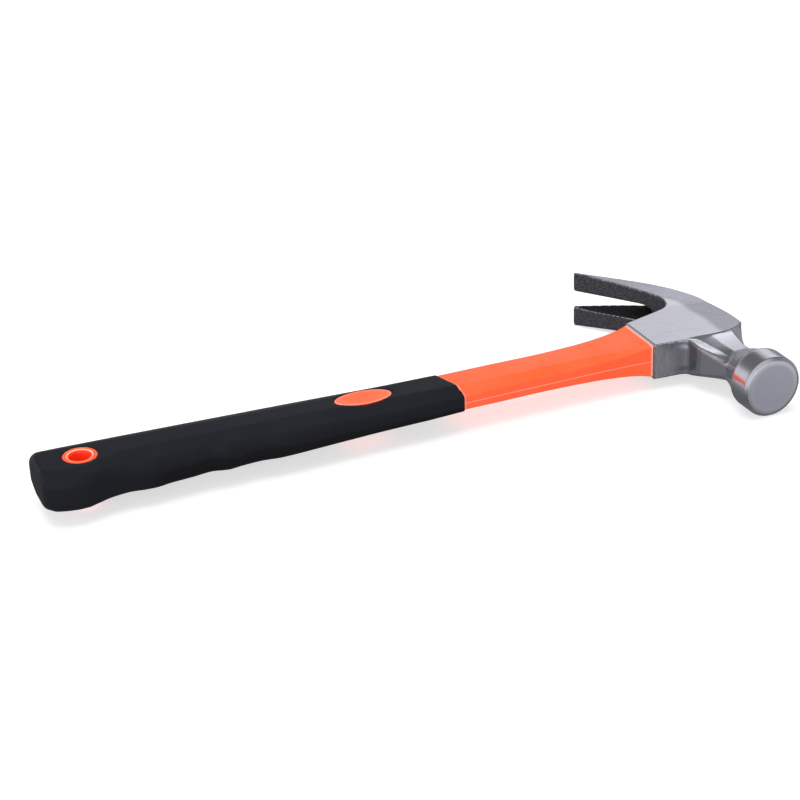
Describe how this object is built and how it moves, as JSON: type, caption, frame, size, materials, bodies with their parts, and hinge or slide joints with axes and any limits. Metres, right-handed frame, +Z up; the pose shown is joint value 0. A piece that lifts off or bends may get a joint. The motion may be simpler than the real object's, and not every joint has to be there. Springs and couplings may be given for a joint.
{
  "type": "claw hammer",
  "caption": "Curved-claw hammer: forged steel head bonded on a fibreglass core, moulded plastic shaft jacket and soft grip with a hang hole.",
  "frame": {"origin": "on the surface that the hammer lies on, under the middle of its bounding box, with the hammer on its side", "axes": "+X along the handle from the butt to the crown of the head, +Y from the striking face to the claws, +Z up through the cheeks"},
  "size_m": [0.3262, 0.1266, 0.028],
  "materials": {
    "forged_steel": "satin lacquered steel, brushed cheeks, polished neck and bell, blackened claw faces",
    "fibreglass": "pultruded glass fibre, matte",
    "epoxy": "cast resin, glossy",
    "orange_plastic": "moulded polypropylene, semi-gloss",
    "black_rubber": "moulded soft rubber, fine satin grain"
  },
  "bodies": {
    "root": {"head": "forged_steel", "fibreglass_core": "fibreglass", "epoxy_bond": "epoxy", "shaft_jacket": "orange_plastic", "grip": "black_rubber", "inlay_upper": "orange_plastic", "inlay_lower": "orange_plastic", "hang_eyelet": "orange_plastic"}
  },
  "joints": []
}
